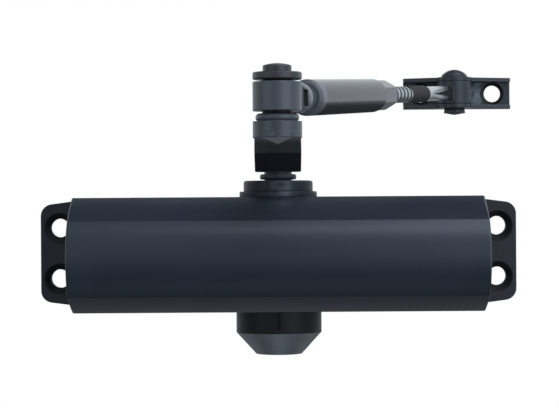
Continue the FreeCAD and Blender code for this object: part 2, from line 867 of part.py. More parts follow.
# Closing spring with plain ends, between the seat in the piston and the right plug
def build_spring():
    start = spring_pocket_end + seat_length
    end = half_length - plug_inset - plug_length + plug_pocket_depth
    rise = end - start - 2 * wire_radius
    helix = doc.addObject("Part::Helix", "spring_path")
    bind(helix, "Radius", spring_radius)
    bind(helix, "Height", rise)
    bind(helix, "Pitch", rise / spring_turns)
    wire = doc.addObject("Part::Circle", "spring_wire")
    bind(wire, "Radius", wire_radius)
    place(wire, (spring_radius, 0, 0), against_y)
    spring = keep(doc.addObject("Part::Sweep", "closing_spring"), "closing_spring")
    spring.Sections = [wire]
    spring.Spine = (helix, [])
    spring.Solid = True
    spring.Frenet = True
    place(spring, (start + wire_radius, -bore_axis_depth, 0), along_x)


build_spring()


# Regulating valves in the right end
def build_valve(label, side):
    outside = valve_width / 2 - fit_gap
    groove = valve_width / 2 - valve_groove_depth
    groove_start = valve_length / 2
    groove_end = groove_start + valve_groove_width
    body = turned(label, [
        (-valve_needle - valve_length, 0),
        (-valve_length, valve_width / 4),
        (-valve_length, outside),
        (-groove_end, outside),
        (-groove_end, groove),
        (-groove_start, groove),
        (-groove_start, outside),
        (0, outside),
        (0, 0),
    ], "X")
    corner = (-valve_slot, -valve_width / 2, -valve_slot / 2)
    cut_box(body, "driver_slot", (valve_slot, valve_width, valve_slot), corner)
    head = half_length - valve_inset
    up = side * valve_height
    place(body, (head, -valve_depth, up))
    ring_at = (head - (groove_start + groove_end) / 2, -valve_depth, up)
    o_ring(label + "_seal", valve_width / 2 - valve_groove_depth / 2, valve_cord_radius, ring_at, along_x)


build_valve("closing_speed_valve", 1)
build_valve("latching_speed_valve", -1)

# Main arm: flat hub, crank, then a straight tapering bar to the elbow eye
elbow_depth = spindle_depth + arm_length
elbow_at = (0, -elbow_depth, 0)
hub_top = hub_level + arm_thickness
eye_top = eye_level + arm_thickness


def build_main_arm():
    side = doc.addObject("PartDesign::Body", "arm_side")
    back = hub_width / 2
    front = arm_length + eye_width / 2
    flat = arm_length - eye_width / 2
    profile = [
        (back, hub_level),
        (back, hub_top),
        (-hub_reach, hub_top),
        (-crank_reach, crank_level + arm_thickness),
        (-flat, eye_top),
        (-front, eye_top),
        (-front, eye_level),
        (-flat, eye_level),
        (-crank_reach, crank_level),
        (-hub_reach, hub_level),
    ]
    pad_outline(side, "arm_profile", "YZ_Plane", profile, 2 * hub_width, both_sides=True)
    plan = doc.addObject("PartDesign::Body", "arm_plan")
    half_hub = hub_width / 2
    half_neck = neck_width / 2
    half_eye = eye_width / 2
    outline = [
        (half_hub, 0),
        (-half_hub, 0),
        (-half_hub, -crank_reach),
        (-half_neck, -arm_length + half_eye),
        (-half_eye, -arm_length),
        (half_eye, -arm_length),
        (half_neck, -arm_length + half_eye),
        (half_hub, -crank_reach),
    ]
    arcs = {0: (half_hub * round_slack, -1), 4: (half_eye * round_slack, -1)}
    pad_outline(plan, "arm_outline", "XY_Plane", outline, 2 * eye_top, arcs=arcs)
    bar = doc.addObject("Part::Common", "arm_bar")
    bar.Base = side
    bar.Tool = plan
    square = doc.addObject("Part::Box", "arm_square")
    wide = square_width + 2 * running_gap
    for name in ("Length", "Width"):
        bind(square, name, wide)
    bind(square, "Height", hub_top)
    place(square, (-wide / 2, -wide / 2, hub_level / 2))
    hole = doc.addObject("Part::Cylinder", "arm_eye_hole")
    bind(hole, "Radius", rivet_width / 2 + running_gap)
    bind(hole, "Height", eye_top)
    place(hole, (0, -arm_length, eye_level / 2))
    tools = doc.addObject("Part::MultiFuse", "arm_holes")
    tools.Shapes = [square, hole]
    arm = keep(doc.addObject("Part::Cut", "main_arm"), "main_arm")
    arm.Base = bar
    arm.Tool = tools
    place(arm, spindle_at)


build_main_arm()


# Arm screw with a split washer under its hexagon head
def build_arm_screw():
    outline = tube_outline(arm_screw_width / 2 + 4 * fit_gap, arm_washer_width / 2, 0, arm_washer_length)
    washer = turned("arm_spring_washer", outline, at=(0, -spindle_depth, hub_top))
    corner = (0, -arm_washer_split / 2, -arm_washer_length / 2)
    cut_box(washer, "split", (arm_washer_width, arm_washer_split, 2 * arm_washer_length), corner)
    screw = new_body("arm_screw")
    head = screw.newObject("PartDesign::AdditivePrism", "head")
    head.Polygon = 6
    bind(head, "Circumradius", arm_screw_head / math.sqrt(3))
    bind(head, "Height", arm_screw_rise)
    shank = arm_screw_grip + arm_washer_length
    add_cylinder(screw, "shank", arm_screw_width / 2 - fit_gap, shank, (0, 0, -shank))
    place(screw, (0, -spindle_depth, hub_top + arm_washer_length))


build_arm_screw()

# Elbow
elbow_ring_top = eye_top + elbow_ring_length
bush_top = elbow_ring_top + elbow_bush_length
elbow_eye_low = elbow_ring_top + elbow_eye_gap
elbow_eye_top = elbow_eye_low + elbow_eye_length
washer_top = bush_top + elbow_washer_length


def build_elbow():
    shank = rivet_width / 2
    inner = shank + running_gap
    outline = tube_outline(inner, elbow_ring_width / 2, eye_top, elbow_ring_top)
    ring = turned("elbow_ring", outline, at=elbow_at)
    round_edges(ring, "ring_edges", elbow_ring_round, lambda edge: is_rim(edge, elbow_ring_width))
    turned("elbow_bush", tube_outline(inner, elbow_bush_width / 2, elbow_ring_top, bush_top), at=elbow_at)
    washer = turned("elbow_washer", tube_outline(inner, eye_width / 2, bush_top, washer_top), at=elbow_at)
    round_edges(washer, "washer_edges", elbow_washer_round, lambda edge: is_rim(edge, eye_width))
    head = rivet_head_width / 2
    crown = rivet_head_rise - rivet_head_side
    dome = (head * head + crown * crown) / (2 * crown)
    rivet = turned("elbow_rivet", [
        (0, eye_level - rivet_tail_rise),
        (rivet_tail_width / 2, eye_level),
        (shank, eye_level),
        (shank, washer_top),
        (head, washer_top),
        (head, washer_top + rivet_head_side),
        (0, washer_top + rivet_head_rise),
    ], at=elbow_at, arcs={5: (dome, -1)})
    rim_level = washer_top + rivet_head_side

    def on_head(edge):
        return is_rim(edge, rivet_head_width, at=rim_level)

    round_edges(rivet, "head_edge", rivet_head_round, on_head)


build_elbow()

# Forearm frame: local X runs from the elbow to the frame bracket
forearm_level = elbow_eye_low + elbow_eye_length / 2 - forearm_drop
run_across = pivot_across.number
run_back = elbow_depth.number - pivot_depth.number
run_up = pivot_level.number - forearm_level.number
run_flat = math.hypot(run_across, run_back)
forearm_length = math.hypot(run_flat, run_up)
heading = math.degrees(math.atan2(run_back, run_across))
climb = math.degrees(math.atan2(run_up, run_flat))
forearm_turn = Rotation(Vector(0, 0, 1), heading) * Rotation(Vector(0, 1, 0), -climb)
forearm_at = (0, -elbow_depth, forearm_level)


def build_forearm():
    # Eye: an upright barrel with a stem and a bead, in one forging
    barrel = doc.addObject("Part::Cylinder", "eye_barrel")
    bind(barrel, "Radius", eye_width / 2)
    bind(barrel, "Height", elbow_eye_length)
    place(barrel, (0, -elbow_depth, elbow_eye_low))
    stem = doc.addObject("PartDesign::Body", "eye_stem")
    turn_about(stem, "eye_stem", [
        (0, 0),
        (0, stem_width / 2),
        (bead_start, stem_width / 2),
        (bead_start, bead_width / 2),
        (bead_end, bead_width / 2),
        (bead_end, stem_width / 2),
        (ferrule_end, stem_width / 2),
        (ferrule_end, 0),
    ], "X")
    round_edges(stem, "bead_edges", bead_round, lambda edge: is_rim(edge, bead_width, "X"))
    cut_box(stem, "bead_slot", (2 * bead_slot_depth, bead_slot_width, bead_slot_height),
            (bead_start - bead_slot_depth, -bead_slot_offset - bead_slot_width, -bead_slot_height / 2))
    place(stem, forearm_at, forearm_turn)
    whole = doc.addObject("Part::Fuse", "eye_whole")
    whole.Base = barrel
    whole.Tool = stem
    bore = doc.addObject("Part::Cylinder", "eye_bore")
    bind(bore, "Radius", elbow_bush_width / 2 + fit_gap)
    bind(bore, "Height", 2 * elbow_eye_length)
    place(bore, (0, -elbow_depth, elbow_eye_low - elbow_eye_length / 2))
    eye = keep(doc.addObject("Part::Cut", "forearm_eye"), "forearm_eye")
    eye.Base = whole
    eye.Tool = bore

    # Ferrule between the stem and the tube
    turned("forearm_ferrule", [
        (ferrule_start, stem_width / 2 + fit_gap),
        (ferrule_start, tube_mouth / 2 - fit_gap),
        (ferrule_end, tube_mouth / 2 - fit_gap),
        (ferrule_end, stem_width / 2 + fit_gap),
    ], "X", forearm_at, forearm_turn)

    tube = turned("forearm_tube", [
        (tube_start, tube_mouth / 2),
        (tube_start, tube_width / 2),
        (tube_end, tube_width / 2),
        (tube_end, rod_width / 2 + 2 * fit_gap),
        (tube_thread_start, rod_width / 2 + 2 * fit_gap),
        (tube_thread_start, tube_mouth / 2),
    ], "X", forearm_at, forearm_turn)
    round_edges(tube, "mouth_lip", tube_lip_round, lambda edge: is_rim(edge, tube_width, "X", tube_start))
    round_edges(tube, "far_edge", tube_far_round, lambda edge: is_rim(edge, tube_width, "X", tube_end))

    # Lock nut, flats up and down
    nut = new_body("lock_nut")
    hexagon = nut.newObject("PartDesign::AdditivePrism", "hexagon")
    hexagon.Polygon = 6
    bind(hexagon, "Circumradius", nut_width / math.sqrt(3))
    bind(hexagon, "Height", nut_length)
    place(hexagon, (tube_end, 0, 0), along_x * Rotation(Vector(0, 0, 1), 30))
    start = (tube_end - overcut, 0, 0)
    cut_cylinder(nut, "nut_thread", rod_width / 2 + 2 * fit_gap, nut_length + 2 * overcut, start, along_x)
    flat = nut_width / 2
    corner = nut_width / math.sqrt(3)
    for end, inward in ((tube_end, 1), (tube_end + nut_length, -1)):
        cut_about(nut, "chamfer", [
            (end - inward * overcut, flat),
            (end, flat),
            (end + inward * nut_chamfer, corner + close),
            (end - inward * overcut, corner + close),
        ])
    place(nut, forearm_at, forearm_turn)


build_forearm()


# Threaded rod: rings of thread from end to end, drawn from the listed sizes
def build_rod():
    crest = rod_width.number / 2
    root = crest - thread_depth.number
    pitch = thread_pitch.number
    first = rod_start.number
    last = (sleeve_start + rod_grip).number
    points = [Vector(first, 0, 0), Vector(first, root, 0)]
    for number in range(int((sleeve_start.number - first) / pitch)):
        ridge = first + (number + 0.5) * pitch
        points.append(Vector(ridge - pitch / 16, crest, 0))
        points.append(Vector(ridge + pitch / 16, crest, 0))
        points.append(Vector(ridge + pitch / 2, root, 0))
    points.append(Vector(last, root, 0))
    points.append(Vector(last, 0, 0))
    outline = Part.Face(Part.makePolygon(points + points[:1]))
    rod = keep(doc.addObject("Part::Feature", "threaded_rod"), "threaded_rod")
    rod.Shape = outline.revolve(Vector(0, 0, 0), Vector(1, 0, 0), 360)
    place(rod, forearm_at, forearm_turn)


build_rod()


# Rod end: a shank in the sleeve, a round bar pressed flat on both sides, and an upright eye
def build_rod_end():
    core = rod_width / 2 - thread_depth
    turned("rod_sleeve", [
        (sleeve_start, core + fit_gap),
        (sleeve_start, sleeve_width / 2),
        (sleeve_end, sleeve_width / 2),
        (sleeve_end, core + fit_gap),
    ], "X", forearm_at, forearm_turn)
    body = doc.addObject("PartDesign::Body", "rod_bar")
    shank_start = sleeve_start + rod_grip + shank_gap
    bar_start = sleeve_end + shank_gap
    bar = tongue_height / 2
    turn_about(body, "rod_bar", [
        (shank_start, 0),
        (shank_start, core),
        (bar_start, core),
        (bar_start, bar),
        (forearm_length, bar),
        (forearm_length, 0),
    ], "X")
    for side in (-1, 1):
        press = new_sketch(body, "press_outline", "XY_Plane")
        draw_outline(press, [
            (flat_start, side * bar),
            (flat_end, side * tongue_thickness / 2),
            (forearm_length + overcut, side * tongue_thickness / 2),
            (forearm_length + overcut, side * tongue_height),
            (flat_start, side * tongue_height),
        ])
        cut = body.newObject("PartDesign::Pocket", "press")
        cut.Profile = press
        cut.Type = "ThroughAll"
        cut.SideType = "Symmetric"
    place(body, forearm_at, forearm_turn)
    eye = doc.addObject("Part::Cylinder", "rod_eye")
    bind(eye, "Radius", rod_eye_width / 2)
    bind(eye, "Height", rod_eye_length)
    eye_at = (pivot_across, -pivot_depth, pivot_level - rod_eye_length / 2)
    place(eye, eye_at)
    whole = doc.addObject("Part::Fuse", "rod_end_whole")
    whole.Base = eye
    whole.Tool = body
    bore = doc.addObject("Part::Cylinder", "rod_eye_bore")
    bind(bore, "Radius", pivot_pin_width / 2 + fit_gap)
    bind(bore, "Height", 2 * rod_eye_length)
    place(bore, (pivot_across, -pivot_depth, pivot_level - rod_eye_length))
    rod_end = keep(doc.addObject("Part::Cut", "rod_end"), "rod_end")
    rod_end.Base = whole
    rod_end.Tool = bore


build_rod_end()


# Frame bracket: a plate with a lip above and below, the lips running out into two ears
def build_bracket():
    body = new_body("frame_bracket")
    half = bracket_length / 2
    tall = bracket_height / 2
    plate = [(-half, -tall), (half, -tall), (half, tall), (-half, tall)]
    pad_outline(body, "plate", "XZ_Plane", plate, bracket_plate)
    ear = ear_width / 2
    lip = [
        (-half, 0),
        (-half, -bracket_lip),
        (-ear - bracket_shift, -pivot_depth),
        (ear - bracket_shift, -pivot_depth),
        (half, -bracket_lip),
        (half, 0),
    ]
    arcs = {2: (ear * round_slack, -1)}
    pad_outline(body, "upper_lip", "XY_Plane", lip, bracket_sheet, tall - bracket_sheet, arcs)
    pad_outline(body, "lower_lip", "XY_Plane", lip, bracket_sheet, -tall, arcs)
    sink_depth = (bracket_sink_width - bracket_hole_width) / 2
    for side in (-1, 1):
        across = side * bracket_hole_span / 2
        start = (across, overcut, 0)
        cut_cylinder(body, "hole", bracket_hole_width / 2, bracket_plate + 2 * overcut, start, against_y)
        cut_cone(body, "sink", bracket_hole_width / 2, bracket_sink_width / 2, sink_depth,
                 (across, -bracket_plate + sink_depth, 0), against_y)
    start = (-bracket_shift, -pivot_depth, -tall - overcut)
    cut_cylinder(body, "pin_hole", pivot_pin_width / 2 + running_gap, bracket_height + 2 * overcut, start)
    place(body, (pivot_across + bracket_shift, 0, pivot_level))

    head = pivot_head_width / 2
    crown = pivot_head_rise - pivot_head_side
    dome = (head * head + crown * crown) / (2 * crown)
    tail = pivot_tail_width / 2
    shank = pivot_pin_width / 2
    turned("bracket_pin", [
        (0, -tall - pivot_tail_rise - pivot_tail_point),
        (tail, -tall - pivot_tail_rise),
        (tail - pivot_tail_flare, -tall),
        (shank, -tall),
        (shank, tall),
        (head, tall),
        (head, tall + pivot_head_side),
        (0, tall + pivot_head_rise),
    ], at=(pivot_across, -pivot_depth, pivot_level), arcs={6: (dome, -1)})


build_bracket()

doc.recompute()

# Every piece must be sound before it is written
for item in doc.Objects:
    if "Invalid" in item.State or "Error" in item.State:
        raise RuntimeError("%s is in state %s" % (item.Label, item.State))
for node in nodes:
    shape = node.Shape
    if shape.isNull() or not shape.isValid() or len(shape.Solids) != 1:
        raise RuntimeError("%s has no sound solid" % node.Label)
    shape.exportStep("parts/%s.step" % node.Label)
    print("%-24s %10.1f mm3" % (node.Label, shape.Volume))
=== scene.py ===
import json
import math
import bmesh
import bpy
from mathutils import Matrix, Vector


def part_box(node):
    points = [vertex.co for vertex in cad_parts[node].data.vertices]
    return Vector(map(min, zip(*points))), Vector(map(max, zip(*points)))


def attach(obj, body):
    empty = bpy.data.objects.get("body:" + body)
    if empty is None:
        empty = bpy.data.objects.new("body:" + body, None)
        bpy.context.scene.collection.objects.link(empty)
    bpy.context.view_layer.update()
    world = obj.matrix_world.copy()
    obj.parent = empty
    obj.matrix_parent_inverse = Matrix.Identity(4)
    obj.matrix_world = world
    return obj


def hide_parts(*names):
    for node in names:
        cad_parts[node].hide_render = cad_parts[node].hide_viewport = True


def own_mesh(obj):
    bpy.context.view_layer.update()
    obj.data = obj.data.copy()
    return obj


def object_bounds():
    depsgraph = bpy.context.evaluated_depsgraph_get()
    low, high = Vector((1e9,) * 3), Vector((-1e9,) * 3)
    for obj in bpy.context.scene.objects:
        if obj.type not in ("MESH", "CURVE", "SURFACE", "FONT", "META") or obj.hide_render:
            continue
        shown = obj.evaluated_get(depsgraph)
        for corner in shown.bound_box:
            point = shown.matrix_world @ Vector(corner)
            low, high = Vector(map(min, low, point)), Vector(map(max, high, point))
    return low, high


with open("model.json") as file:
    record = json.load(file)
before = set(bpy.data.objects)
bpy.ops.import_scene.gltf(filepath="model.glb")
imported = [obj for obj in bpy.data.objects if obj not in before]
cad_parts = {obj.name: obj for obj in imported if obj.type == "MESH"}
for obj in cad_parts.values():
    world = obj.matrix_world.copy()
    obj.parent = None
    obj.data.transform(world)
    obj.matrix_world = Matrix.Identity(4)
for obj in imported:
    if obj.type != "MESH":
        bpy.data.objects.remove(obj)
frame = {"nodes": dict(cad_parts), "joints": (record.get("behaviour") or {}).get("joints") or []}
cadLow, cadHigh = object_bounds()
joints = {joint["name"]: joint for joint in frame["joints"]}
print("frame loaded:", len(frame["nodes"]), "nodes")


# One socket of a shader tree, with its maths written as Python operators
class Wire:
    def __init__(self, tree, socket):
        self.tree = tree
        self.socket = socket

    def work(self, operation, *values):
        return self.tree.add("ShaderNodeMath", {"operation": operation}, dict(enumerate(values)))

    def __add__(self, other):
        return self.work("ADD", self, other)

    def __radd__(self, other):
        return self.work("ADD", other, self)

    def __sub__(self, other):
        return self.work("SUBTRACT", self, other)

    def __rsub__(self, other):
        return self.work("SUBTRACT", other, self)

    def __mul__(self, other):
        return self.work("MULTIPLY", self, other)

    def __rmul__(self, other):
        return self.work("MULTIPLY", other, self)

    def __abs__(self):
        return self.work("ABSOLUTE", self)

    def root(self):
        return self.work("SQRT", self)


# One shader tree, cleared and ready for its nodes
class Tree:
    edgeTurn = (0.004, 0.12)    # how far the face's direction turns, on a soft and on a sharp edge

    def __init__(self, owner):
        owner.use_nodes = True
        self.tree = owner.node_tree
        self.tree.nodes.clear()

    def feed(self, socket, value):
        if isinstance(value, Wire):
            self.tree.links.new(value.socket, socket)
        elif isinstance(value, tuple) and socket.type == "RGBA":
            socket.default_value = (*value, 1.0)
        else:
            socket.default_value = value

    # A node of that type: its settings first, then what goes into its sockets
    def add(self, kind, settings=None, sockets=None, output=0):
        node = self.tree.nodes.new(kind)
        for name, value in (settings or {}).items():
            setattr(node, name, value)
        for name, value in (sockets or {}).items():
            self.feed(node.inputs[name], value)
        return Wire(self, node.outputs[output]) if node.outputs else node

    # Rises smoothly from 0 at low to 1 at high
    def smooth(self, value, low, high):
        spread = {"Value": value, "From Min": low, "From Max": high}
        return self.add("ShaderNodeMapRange", {"interpolation_type": "SMOOTHSTEP"}, spread)

    # From the first colour to the second: 6, 7 and 2 are the node's sockets for colours
    def mix(self, share, first, second):
        return self.add("ShaderNodeMix", {"data_type": "RGBA"}, {0: share, 6: first, 7: second}, 2)

    def place(self):
        return self.add("ShaderNodeTexCoord", output="Object")

    # One coordinate, of the place on the piece where no other vector is given
    def axis(self, letter, vector=None):
        return self.add("ShaderNodeSeparateXYZ", None, {0: vector or self.place()}, letter)

    # Distance over two sides that stand square to each other
    def reach(self, first, second):
        return (first * first + second * second).root()

    def noise(self, scale, detail, rough=0.5, vector=None):
        sockets = {"Vector": vector or self.place(), "Scale": scale, "Detail": detail, "Roughness": rough}
        return self.add("ShaderNodeTexNoise", None, sockets)

    # Noise drawn out into marks: its scale along X, Y and Z
    def streaks(self, scale, detail, rough):
        stretched = self.add("ShaderNodeMapping", None, {"Vector": self.place(), "Scale": scale})
        return self.noise(1.0, detail, rough, stretched)

    # The face's direction, rounded off at its edges
    def rounded(self, radius, samples=6):
        return self.add("ShaderNodeBevel", {"samples": samples}, {"Radius": radius})

    # Nearly 0 on a flat face, rising towards 1 on a sharp edge
    def edges(self, radius):
        plain = self.add("ShaderNodeNewGeometry", output="Normal")
        sides = {0: self.rounded(radius), 1: plain}
        facing = self.add("ShaderNodeVectorMath", {"operation": "DOT_PRODUCT"}, sides, "Value")
        return self.smooth(1 - facing, *self.edgeTurn)

    def bump(self, height, depth, strength, edge=None):
        sockets = {"Height": height, "Distance": depth, "Strength": strength}
        if edge is not None:
            sockets["Normal"] = edge
        return self.add("ShaderNodeBump", None, sockets)

    # 1 for rays of that kind, otherwise 0
    def ray(self, kind):
        return self.add("ShaderNodeLightPath", output=kind)

    def principled(self, sockets):
        return self.add("ShaderNodeBsdfPrincipled", None, sockets)

    def finish(self, shader):
        self.add("ShaderNodeOutputMaterial", None, {"Surface": shader})


def newFinish(name):
    material = bpy.data.materials.new(name)
    return material, Tree(material)


# Anthracite paint: the coats, and what wear and dust make of each
paintFinish = {
    "castPaint": {
        "colour": (0.0170, 0.0245, 0.0375), "roughness": 0.30, "gloss": 0.5, "peel": 0.22, "wear": 0.55},
    "forgedPaint": {
        "colour": (0.062, 0.074, 0.088), "roughness": 0.30, "gloss": 0.5, "peel": 0.34, "wear": 0.9},
    "barPaint": {
        "colour": (0.045, 0.054, 0.065), "roughness": 0.30, "gloss": 0.5, "peel": 0.34, "wear": 0.9},
    "stampedPaint": {
        "colour": (0.030, 0.036, 0.044), "roughness": 0.34, "gloss": 0.4, "peel": 0.30, "wear": 0.9},
    "ringPaint": {
        "colour": (0.0110, 0.0155, 0.0235), "roughness": 0.42, "gloss": 0.3, "peel": 0.26, "wear": 0.7},
    "flangePaint": {
        "colour": (0.049, 0.062, 0.082), "roughness": 0.42, "gloss": 0.3, "peel": 0.26, "wear": 0.7},
    "blackOxide": {
        "colour": (0.036, 0.037, 0.040), "roughness": 0.34, "gloss": 0.5, "peel": 0.30, "wear": 0.8},
    "tubePaint": {
        "colour": (0.0115, 0.0155, 0.0215), "roughness": 0.10, "gloss": 0.5, "peel": 0.06, "wear": 0.6},
    "nutPaint": {
        "colour": (0.052, 0.056, 0.059), "roughness": 0.18, "gloss": 0.5, "peel": 0.10, "wear": 0.6},
    "ferrulePaint": {
        "colour": (0.21, 0.225, 0.245), "roughness": 0.30, "gloss": 0.5, "peel": 0.20, "wear": 0.6},
}
paintWear = {
    "worn": 2.6,                # rubbed edges, times the colour
    "dust": 1.5,                # dusty patches, times the colour
    "dustShare": 0.35,
    "dustRange": (0.52, 0.78),
    "scratchRange": (0.42, 0.66),
    "patchScale": 38.0,         # scales are per metre
    "scratchScale": 420.0,
    "peelScale": 900.0,         # orange peel
    "grainScale": 5200.0,
    "patchRoughness": 0.10,
    "grainRoughness": 0.05,
    "rubbedRoughness": 0.12,
    "edgeRadius": 0.0005,
    "grainDepth": 0.25,         # beside the depth of the orange peel
    "peelDepth": 0.00012,
    "ior": 1.5,
}


def times(colour, share):
    return tuple(channel * share for channel in colour)


# From the first number to the second
def between(share, first, second):
    return first + share * (second - first)


# bare, where there is one, marks what differs from the coat
def paint(name, coat, bare):
    look = paintFinish[coat]
    material, tree = newFinish(name)
    patches = tree.noise(paintWear["patchScale"], detail=5.0, rough=0.6)
    grain = tree.noise(paintWear["grainScale"], detail=2.0)
    peel = tree.noise(paintWear["peelScale"], detail=2.0, rough=0.4)
    scratches = tree.noise(paintWear["scratchScale"], detail=4.0, rough=0.65)
    scratches = tree.smooth(scratches, *paintWear["scratchRange"])
    wearAndHighlight = tree.edges(paintWear["edgeRadius"]) * scratches * look["wear"]
    dusty = paintWear["dustShare"] * tree.smooth(patches, *paintWear["dustRange"])
    base = tree.mix(dusty, look["colour"], times(look["colour"], paintWear["dust"]))
    base = tree.mix(wearAndHighlight, base, times(look["colour"], paintWear["worn"]))
    rough = look["roughness"] + (patches - 0.5) * paintWear["patchRoughness"]
    rough = rough + (grain - 0.5) * paintWear["grainRoughness"] + wearAndHighlight * paintWear["rubbedRoughness"]
    sockets = {"IOR": paintWear["ior"], "Specular IOR Level": look["gloss"]}
    if bare is not None:
        share, colour, shine, dull = bare(tree)
        base = tree.mix(share, base, colour)
        rough = rough + share * (dull - look["roughness"])
        if shine != 0.0:
            sockets["Metallic"] = share * shine
    height = peel + grain * paintWear["grainDepth"]
    edge = tree.rounded(paintWear["edgeRadius"])
    normal = tree.bump(height, paintWear["peelDepth"], look["peel"], edge)
    sockets.update({"Base Color": base, "Roughness": rough, "Normal": normal})
    tree.finish(tree.principled(sockets))
    return material


# Black moulded cap, with a paler metal tip
capFinish = {
    "colour": (0.0068, 0.0072, 0.0086),
    "tip": (0.40, 0.42, 0.46),
    "scuffed": (0.009, 0.010, 0.012),
    "scuffRange": (0.45, 0.7),
    "roughness": 0.46,
    "tipRoughness": 0.26,
    "tipShine": 0.9,
    "tipTop": (-0.0286, -0.0284),       # height of the edge between tip and skirt
    "cloudScale": 55.0,
    "scuffScale": 300.0,
    "sparkScale": 3600.0,
    "cloudRoughness": 0.14,
    "sparkRoughness": 0.06,
    "edgeRadius": 0.0004,
    "sparkDepth": 0.00004,
    "sparkStrength": 0.35,
    "ior": 1.45,
    "gloss": 0.3,
}


def mouldedCap(name):
    look = capFinish
    material, tree = newFinish(name)
    spark = tree.noise(look["sparkScale"], detail=3.0, rough=0.6)
    cloud = tree.noise(look["cloudScale"], detail=4.0, rough=0.6)
    marks = tree.smooth(tree.noise(look["scuffScale"], detail=4.0, rough=0.7), *look["scuffRange"])
    tip = 1 - tree.smooth(tree.axis("Z"), *look["tipTop"])
    base = tree.mix(tip, look["colour"], look["tip"])
    base = tree.mix(tree.edges(look["edgeRadius"]) * marks * (1 - tip), base, look["scuffed"])
    rough = between(tip, look["roughness"], look["tipRoughness"])
    rough = rough + (cloud - 0.5) * look["cloudRoughness"] + (spark - 0.5) * look["sparkRoughness"]
    edge = tree.rounded(look["edgeRadius"])
    normal = tree.bump(spark, look["sparkDepth"], look["sparkStrength"], edge)
    tree.finish(tree.principled({
        "Base Color": base, "Roughness": rough, "Metallic": tip * look["tipShine"], "Normal": normal,
        "IOR": look["ior"], "Specular IOR Level": look["gloss"]}))
    return material


# Bare and plated metals, with fine tool marks along one direction
metalFinish = {
    "zinc": {
        "bright": (0.60, 0.64, 0.66), "dull": (0.33, 0.36, 0.39),
        "roughness": 0.26, "marks": (900.0, 900.0, 900.0)},
    "steel": {
        "bright": (0.50, 0.51, 0.53), "dull": (0.30, 0.30, 0.32),
        "roughness": 0.30, "marks": (260.0, 260.0, 2600.0)},
    "aluminium": {
        "bright": (0.66, 0.67, 0.69), "dull": (0.47, 0.48, 0.50),
        "roughness": 0.33, "marks": (2400.0, 300.0, 300.0)},
    "bronze": {
        "bright": (0.48, 0.33, 0.15), "dull": (0.27, 0.17, 0.07),
        "roughness": 0.42, "marks": (1500.0, 1500.0, 1500.0)},
    "springWire": {
        "bright": (0.24, 0.24, 0.25), "dull": (0.10, 0.10, 0.11),
        "roughness": 0.36, "marks": (700.0, 2200.0, 2200.0)},
}
metalWear = {
    "stainScale": 210.0,
    "stainRange": (0.40, 0.75),
    "stainShare": 0.7,
    "markShare": 0.25,
    "stainRoughness": 0.10,
    "markRoughness": 0.22,
    "markDepth": 0.00003,
    "markStrength": 0.5,
    "edgeRadius": 0.0002,
    "edgeSamples": 4,
}


def metal(name):
    look = metalFinish[name]
    material, tree = newFinish(name)
    marks = tree.streaks(look["marks"], detail=3.0, rough=0.6)
    stain = tree.noise(metalWear["stainScale"], detail=5.0, rough=0.65)
    stain = tree.smooth(stain, *metalWear["stainRange"])
    tarnish = stain * metalWear["stainShare"] + marks * metalWear["markShare"]
    rough = look["roughness"] + (marks - 0.5) * metalWear["markRoughness"]
    rough = rough + stain * metalWear["stainRoughness"]
    edge = tree.rounded(metalWear["edgeRadius"], metalWear["edgeSamples"])
    tree.finish(tree.principled({
        "Base Color": tree.mix(tarnish, look["bright"], look["dull"]),
        "Roughness": rough, "Metallic": 1.0,
        "Normal": tree.bump(marks, metalWear["markDepth"], metalWear["markStrength"], edge)}))
    return material


# Oil-proof rubber of the seals and the rod sleeve
rubberFinish = {
    "colour": (0.012, 0.012, 0.013),
    "bloom": (0.020, 0.021, 0.024),
    "bloomScale": 480.0,
    "bloomRange": (0.40, 0.80),
    "bloomRoughness": 0.16,
    "roughness": 0.62,
    "gloss": 0.3,
    "poreScale": 6000.0,
    "poreDepth": 0.00003,
    "poreStrength": 0.4,
}


def rubber(name):
    look = rubberFinish
    material, tree = newFinish(name)
    bloom = tree.smooth(tree.noise(look["bloomScale"], detail=5.0, rough=0.65), *look["bloomRange"])
    pores = tree.noise(look["poreScale"], detail=2.0)
    tree.finish(tree.principled({
        "Base Color": tree.mix(bloom, look["colour"], look["bloom"]),
        "Roughness": look["roughness"] + bloom * look["bloomRoughness"],
        "Normal": tree.bump(pores, look["poreDepth"], look["poreStrength"]),
        "Specular IOR Level": look["gloss"]}))
    return material


# Zinc thread: bright crests, and darker grooves, from the crest share kept on the mesh
threadFinish = {
    "crest": (0.40, 0.445, 0.46),
    "groove": (0.070, 0.075, 0.080),
    "crestRange": (0.50, 0.95),
    "roughness": 0.24,
    "grooveRoughness": 0.25,    # added to that in the grooves
    "grimeScale": 700.0,
    "grimeSpread": 0.3,
    "grimeRoughness": 0.12,
    "grimeDepth": 0.00003,
    "grimeStrength": 0.4,
}


def zincThread(name):
    look = threadFinish
    material, tree = newFinish(name)
    crest = tree.add("ShaderNodeAttribute", {"attribute_name": "crestShare"}, output="Fac")
    grime = tree.noise(look["grimeScale"], detail=4.0, rough=0.65)
    bright = tree.smooth(crest + (grime - 0.5) * look["grimeSpread"], *look["crestRange"])
    rough = look["roughness"] + (1 - bright) * look["grooveRoughness"]
    rough = rough + (grime - 0.5) * look["grimeRoughness"]
    tree.finish(tree.principled({
        "Base Color": tree.mix(bright, look["groove"], look["crest"]),
        "Roughness": rough, "Metallic": 1.0,
        "Normal": tree.bump(grime, look["grimeDepth"], look["grimeStrength"])}))
    return material


